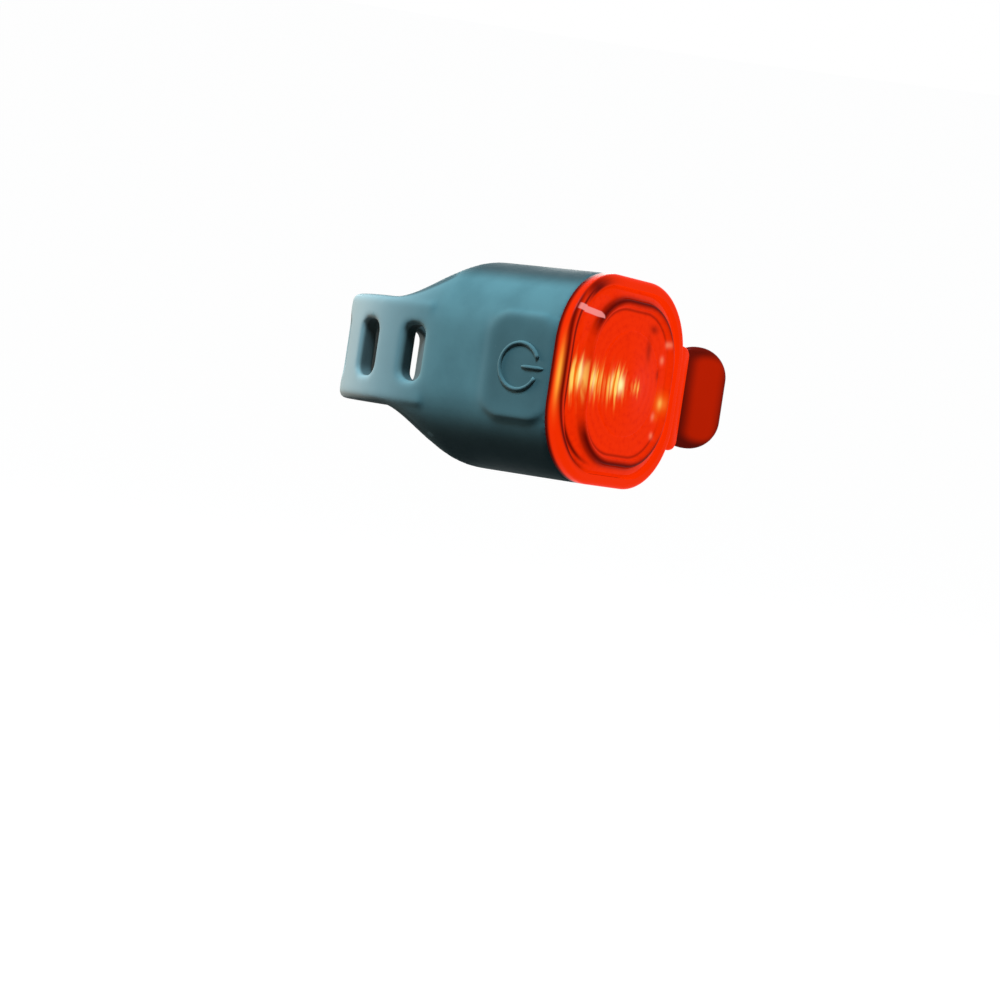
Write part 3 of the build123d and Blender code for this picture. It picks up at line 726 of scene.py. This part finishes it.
def makePowerSign(look):
    bm = bmesh.new()
    section = bmesh.ops.create_circle(bm, cap_ends=False, segments=look["sides"], radius=1.0)["verts"]
    bmesh.ops.rotate(bm, verts=section, cent=(0, 0, 0), matrix=Matrix.Rotation(radians(90), 3, "X"))
    bmesh.ops.scale(bm, verts=section, vec=(look["rise"] * mm, 1, look["lineWidth"] / 2 * mm))
    bmesh.ops.translate(bm, verts=section, vec=(0, 0, look["radius"] * mm))
    startEdges = list({edge for vert in section for edge in vert.link_edges})
    bmesh.ops.rotate(bm, verts=section, cent=(0, 0, 0),
                     matrix=Matrix.Rotation(radians(90 + look["gap"] / 2), 3, "X"))
    bmesh.ops.spin(bm, geom=startEdges + section, axis=(1, 0, 0), cent=(0, 0, 0),
                   angle=radians(360 - look["gap"]), steps=look["steps"], use_duplicate=False)
    bmesh.ops.holes_fill(bm, edges=[e for e in bm.edges if e.is_boundary], sides=0)

    # The bar is a ball pulled out to three radii, then brought to its length
    bar = bmesh.ops.create_uvsphere(
        bm, u_segments=look["barSides"], v_segments=look["barRings"], radius=1.0)["verts"]
    for vert in bar:
        vert.co.y += 0.5 if vert.co.y > 0 else -0.5
    barLength = look["barEnd"] - look["barStart"]
    bmesh.ops.scale(bm, verts=bar, vec=(look["rise"] * mm, barLength / 3 * mm, look["lineWidth"] / 2 * mm))
    bmesh.ops.translate(bm, verts=bar, vec=(0, -(look["barStart"] + look["barEnd"]) / 2 * mm, 0))
    bmesh.ops.rotate(bm, verts=bm.verts, cent=(0, 0, 0),
                     matrix=Matrix.Rotation(radians(look["tilt"]), 3, "X"))
    bmesh.ops.translate(bm, verts=bm.verts, vec=(look["face"] * mm, -look["depth"] * mm, 0))
    bmesh.ops.recalc_face_normals(bm, faces=bm.faces)
    sign = finishPiece(bm, "powerSign")
    sign.data.materials.append(materials["sleeve_rubber"])
    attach(sign, "power_button")
    print("stage: power sign made")


makePowerSign(powerSign)

# Lens: border, slope, raised ridge and pocket as (width, height, corner, depth), before its dome is pressed
lensShell = {
    "domeRadius": 120.0, "domeFrom": 34.8, "segments": 12,
    "rings": [
        (26.4, 25.8, 8.4, 31.60), (26.4, 25.8, 8.4, 33.70), (30.0, 29.4, 10.2, 33.70),
        (30.0, 29.4, 10.2, 34.80), (29.9, 29.3, 10.2, 35.05), (29.5, 28.9, 10.1, 35.30),
        (28.9, 28.3, 10.0, 35.48), (27.4, 27.2, 9.9, 35.72), (25.4, 26.6, 9.8, 35.90),
        (24.8, 26.3, 9.7, 36.02), (24.5, 26.1, 9.6, 36.30), (24.2, 25.8, 9.5, 36.60),
        (23.8, 25.4, 9.3, 36.70), (22.9, 24.5, 8.9, 36.72), (22.4, 24.0, 8.6, 36.62),
        (22.1, 23.7, 8.4, 36.40), (21.9, 23.5, 8.3, 36.12), (21.5, 23.1, 8.2, 36.02),
        (20.6, 22.2, 8.0, 35.98),
    ],
}
lensRings = {  # in millimetres, but the merge distance is in metres
    "radii": [1.4, 2.8, 4.2, 5.6, 7.0, 8.4], "rise": 0.18, "fadeRadius": 9.0, "halfWidth": 0.25,
    "face": 36.0, "rootDrop": 0.2, "steps": 96, "mergeDistance": 1e-7,
}


def pressDome(bm, look):
    for vert in bm.verts:
        if vert.co.y < -look["domeFrom"] * mm:
            vert.co.y += (vert.co.x ** 2 + vert.co.z ** 2) / (2 * look["domeRadius"] * mm)


def makeLensShell(look):
    bm, lastFace = steppedFace(look["rings"], look["segments"])
    bmesh.ops.poke(bm, faces=lastFace)
    pressDome(bm, look)
    shell = finishPiece(bm, "lensShell")
    shell.data.materials.append(materials["red_lens"])
    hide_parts("lens")
    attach(shell, "lamp")
    print("stage: lens made")


def makeLensRings(look, shellLook):  # round optic grooves on the pocket's floor, which fade towards its edge
    bm = bmesh.new()
    profile = [(0.0, look["face"])]
    for radius in look["radii"]:
        rise = look["rise"] * (1 - radius / look["fadeRadius"])
        profile += [(radius - look["halfWidth"], look["face"] + rise), (radius, look["face"])]
    profile.append((look["radii"][-1], look["face"] - look["rootDrop"]))
    verts = [bm.verts.new((radius * mm, -depth * mm, 0)) for radius, depth in profile]
    edges = [bm.edges.new(pair) for pair in zip(verts, verts[1:])]
    bmesh.ops.spin(bm, geom=verts + edges, axis=(0, 1, 0), cent=(0, 0, 0), angle=tau, steps=look["steps"],
                   use_merge=True)
    bmesh.ops.remove_doubles(bm, verts=bm.verts, dist=look["mergeDistance"])
    pressDome(bm, shellLook)
    bmesh.ops.holes_fill(bm, edges=[e for e in bm.edges if e.is_boundary], sides=0)
    bmesh.ops.recalc_face_normals(bm, faces=bm.faces)
    rings = finishPiece(bm, "lensRings")
    rings.data.materials.append(materials["red_lens"])
    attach(rings, "lamp")
    print("stage: lens rings made")


makeLensShell(lensShell)
makeLensRings(lensRings, lensShell)

# Ledge that widens the rim towards the hook, in front of the strap's end, as (width, height, corner, depth)
rimLedge = {
    "middle": (17.0, 0.0, -0.7), "segments": 6,
    "rings": [(3.0, 16.6, 1.4, 32.90), (3.4, 17.0, 1.6, 33.20), (3.4, 17.0, 1.6, 33.90),
              (3.1, 16.7, 1.5, 34.30), (2.5, 16.1, 1.2, 34.55)],
}


def makeRimLedge(look):
    bm = steppedFace(look["rings"], look["segments"])[0]
    bmesh.ops.translate(bm, verts=bm.verts, vec=Vector(look["middle"]) * mm)
    ledge = finishPiece(bm, "rimLedge")
    ledge.data.materials.append(materials["red_case"])
    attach(ledge, "lamp")
    print("stage: rim ledge made")


makeRimLedge(rimLedge)

# Floor that curves up into a low backdrop all round, in metres
stageLook = {
    "height": -0.12, "flat": 1.6, "bendRadius": 0.7, "bend": 75.0, "bendSteps": 12, "steps": 96,
    "mergeDistance": 1e-5, "base": (0.07, 0.07, 0.07, 1), "glow": 0.98,
}


def makeStage(look):
    bm = bmesh.new()
    middle = bm.verts.new((0, 0, look["height"]))
    edge = bm.verts.new((look["flat"], 0, look["height"]))
    bm.edges.new((middle, edge))
    bmesh.ops.spin(bm, geom=[edge], cent=(look["flat"], 0, look["height"] + look["bendRadius"]),
                   axis=(0, -1, 0), angle=radians(look["bend"]), steps=look["bendSteps"])
    bmesh.ops.spin(bm, geom=bm.verts[:] + bm.edges[:], cent=(0, 0, 0), axis=(0, 0, 1), angle=tau,
                   steps=look["steps"], use_merge=True)
    bmesh.ops.remove_doubles(bm, verts=bm.verts, dist=look["mergeDistance"])
    bmesh.ops.recalc_face_normals(bm, faces=bm.faces)
    floor = finishPiece(bm, "studioFloor")
    material, tree, shader = newMaterial("studioFloor", Base_Color=look["base"], Roughness=0.9,
                                         Specular_IOR_Level=0.1, Emission_Color=(1, 1, 1, 1))
    feed(tree, shader.inputs["Emission Strength"], product(tree, seenRays(tree), look["glow"]))
    floor.data.materials.append(material)


makeStage(stageLook)

# Lamps: each is a square panel that faces the light's middle, with places and sizes in metres
lamps = {
    "keyLamp": {"place": (-0.32, -0.05, 0.52), "size": 0.20, "watts": 7.2, "colour": (0.45, 0.80, 1.0)},
    "strapLamp": {"place": (-0.09, 0.30, 0.06), "size": 0.10, "watts": 1.05, "colour": (1.0, 0.98, 0.95)},
    "backLamp": {"place": (0.45, 0.45, 0.35), "size": 0.35, "watts": 3.0, "colour": (1.0, 0.98, 0.95)},
    "frontLamp": {"place": (0.30, -0.60, 0.25), "size": 0.35, "watts": 1.0, "colour": (1.0, 0.98, 0.96)},
}
lampTarget = Vector((0, -0.015, 0))

for lampName, look in lamps.items():
    data = bpy.data.lights.new(lampName, "AREA")
    data.size = look["size"]
    data.energy = look["watts"]
    data.color = look["colour"]
    lamp = bpy.data.objects.new(lampName, data)
    lamp.location = look["place"]
    lamp.visible_camera = False
    lamp.rotation_euler = (lampTarget - lamp.location).to_track_quat("-Z", "Y").to_euler()
    bpy.context.scene.collection.objects.link(lamp)

worldLook = {"colour": (1, 1, 1, 1), "fill": 0.045}  # white where it is seen, and this strong as light


def makeWorld(look):
    world = bpy.data.worlds.new("studio")
    world.use_nodes = True
    tree = world.node_tree
    background = tree.nodes["Background"]
    background.inputs["Color"].default_value = look["colour"]
    feed(tree, background.inputs["Strength"], strongest(tree, seenRays(tree), look["fill"]))
    bpy.context.scene.world = world


makeWorld(worldLook)

# Camera: about level, from the button's side of the lens, rolled to one side
cameraLook = {
    "azimuth": 305.43, "elevation": 1.1, "distance": 450.0, "roll": 8.63, "aimRight": 8.57, "aimDown": 22.88,
    "lens": 98.8, "sensor": 36.0, "clipStart": 0.01, "clipEnd": 20.0,
}


def makeCamera(look):
    azimuth, elevation, roll = (radians(look[key]) for key in ("azimuth", "elevation", "roll"))
    back = Vector((sin(azimuth) * cos(elevation), -cos(azimuth) * cos(elevation), sin(elevation)))
    level = Vector((cos(azimuth), sin(azimuth), 0))
    upright = back.cross(level)
    right = level * cos(roll) + upright * sin(roll)
    up = upright * cos(roll) - level * sin(roll)
    aim = (right * look["aimRight"] - up * look["aimDown"]) * mm
    data = bpy.data.cameras.new("camera")
    data.lens = look["lens"]
    data.sensor_width = look["sensor"]
    data.clip_start = look["clipStart"]
    data.clip_end = look["clipEnd"]
    camera = bpy.data.objects.new("camera", data)
    turn = Matrix((right, up, back)).transposed().to_4x4()
    camera.matrix_world = Matrix.Translation(aim + back * look["distance"] * mm) @ turn
    bpy.context.scene.collection.objects.link(camera)
    bpy.context.scene.camera = camera


makeCamera(cameraLook)
bpy.context.scene.view_settings.view_transform = "Standard"
print("stage: studio made")

bpy.context.view_layer.update()
